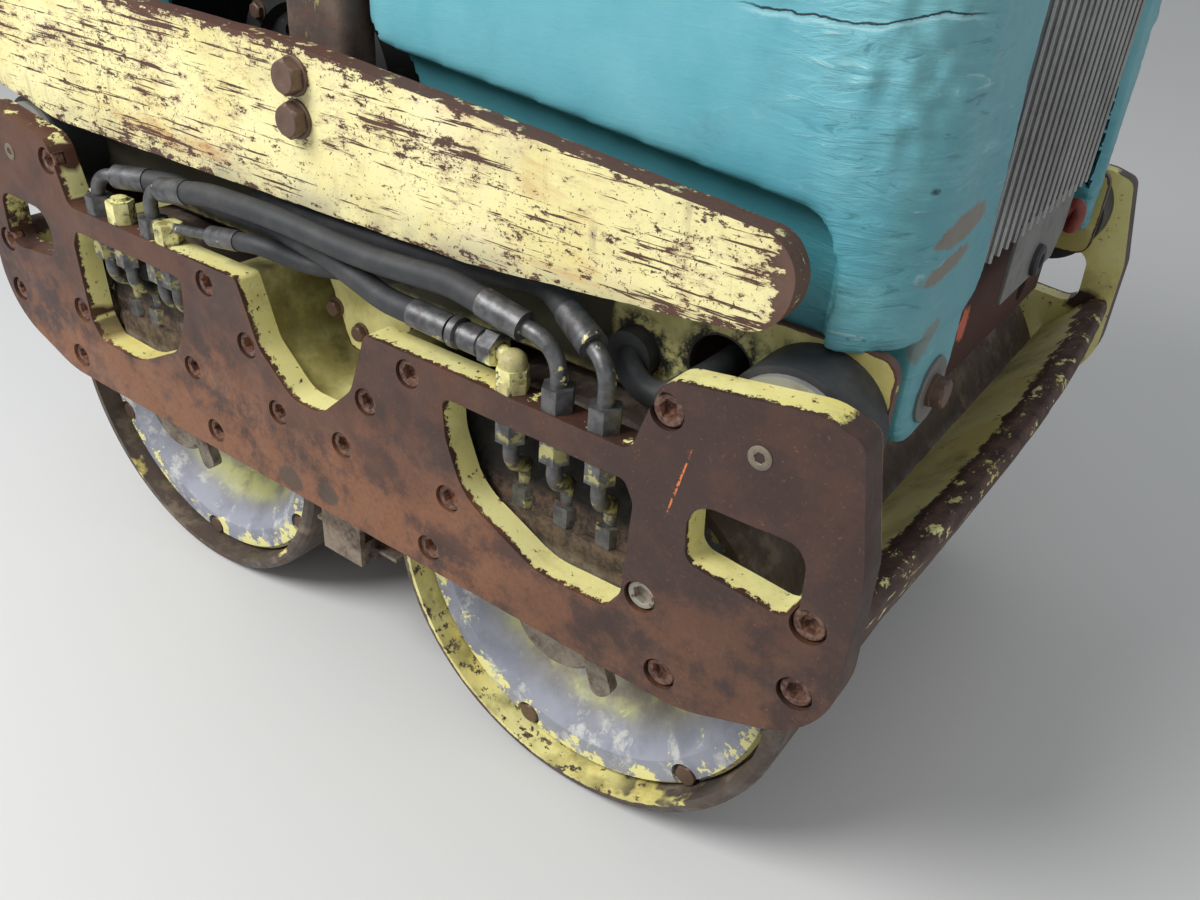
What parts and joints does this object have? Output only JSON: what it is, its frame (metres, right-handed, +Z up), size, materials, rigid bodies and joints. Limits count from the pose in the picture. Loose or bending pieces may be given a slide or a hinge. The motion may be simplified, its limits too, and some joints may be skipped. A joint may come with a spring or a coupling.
{
  "type": "walk-behind tandem vibratory roller",
  "caption": "Pedestrian double-drum compaction roller: steel side plates, bolted drum carriers, rubber-mounted upper frame, plastic hoods, guard bars and a tilting drawbar",
  "frame": {"origin": "centre of the overall bounding box, on the ground", "axes": "+X forward, +Y to the machine's left, +Z up; drum axles lie along Y"},
  "size_m": [2.0206, 0.714, 1.1121],
  "materials": {
    "worn_plate": "matt, worn to brown rust",
    "pale_yellow": "chipped gloss paint",
    "drum_steel": "worn bare steel",
    "disc_paint": "scuffed grey paint",
    "rusty_steel": "brown rust",
    "hood_plastic": "scuffed turquoise",
    "black_rubber": "matt",
    "zinc_steel": "dull zinc",
    "aluminium_core": "dull",
    "red_paint": "worn",
    "cast_grey": "plain",
    "black_paint": "satin",
    "black_plastic": "satin"
  },
  "bodies": {
    "frame": {"air_cleaner": "black_plastic", "buffer_plates": "zinc_steel", "buffer_rubbers": "black_rubber", "centre_cross_member": "pale_yellow", "drawbar_bracket": "black_paint", "drum_carrier_front_left": "pale_yellow", "drum_carrier_front_right": "pale_yellow", "drum_carrier_rear_left": "pale_yellow", "drum_carrier_rear_right": "pale_yellow", "engine_block": "cast_grey", "fan_cover": "black_plastic", "fittings_left": "zinc_steel", "fittings_right": "zinc_steel", "frame_floor": "pale_yellow", "frame_side_left": "pale_yellow", "frame_side_right": "pale_yellow", "front_bumper": "pale_yellow", "front_cross_plate": "rusty_steel", "front_hood": "hood_plastic", "guard_bar_left": "pale_yellow", "guard_bar_right": "pale_yellow", "hood_hook": "red_paint", "hoses_left": "black_rubber", "hoses_right": "black_rubber", "hydraulic_tank": "black_paint", "lid_hinge": "black_paint", "lifting_eye": "rusty_steel", "lifting_frame": "rusty_steel", "radiator": "aluminium_core", "rear_bumper": "pale_yellow", "rear_cross_plate": "rusty_steel", "rear_hood": "hood_plastic", "scraper_bar": "rusty_steel", "side_plate_left": "worn_plate", "side_plate_right": "worn_plate"},
    "drum_front": {"drum_front_discs": "disc_paint", "drum_front_shell": "drum_steel"},
    "drum_rear": {"drum_rear_discs": "disc_paint", "drum_rear_shell": "drum_steel"},
    "drawbar": {"drawbar": "black_paint", "console": "black_plastic", "travel_lever": "black_plastic", "handle_loop": "black_paint"},
    "lid": {"service_lid": "hood_plastic"}
  },
  "joints": [
    {"name": "drum_front_spin", "type": "hinge", "parent": "frame", "child": "drum_front", "pos_m": [0.75433, 0, 0.2], "axis": [0, 1, 0], "continuous": true},
    {"name": "drum_rear_spin", "type": "hinge", "parent": "frame", "child": "drum_rear", "pos_m": [0.24233, 0, 0.2], "axis": [0, 1, 0], "continuous": true},
    {"name": "drawbar_tilt", "type": "hinge", "parent": "frame", "child": "drawbar", "pos_m": [-0.04667, 0, 0.545], "axis": [0, 1, 0], "range_deg": [-15, 57]},
    {"name": "lid_tilt", "type": "hinge", "parent": "frame", "child": "lid", "pos_m": [0.24533, 0, 0.965], "axis": [0, 1, 0], "range_deg": [0, 75]}
  ]
}
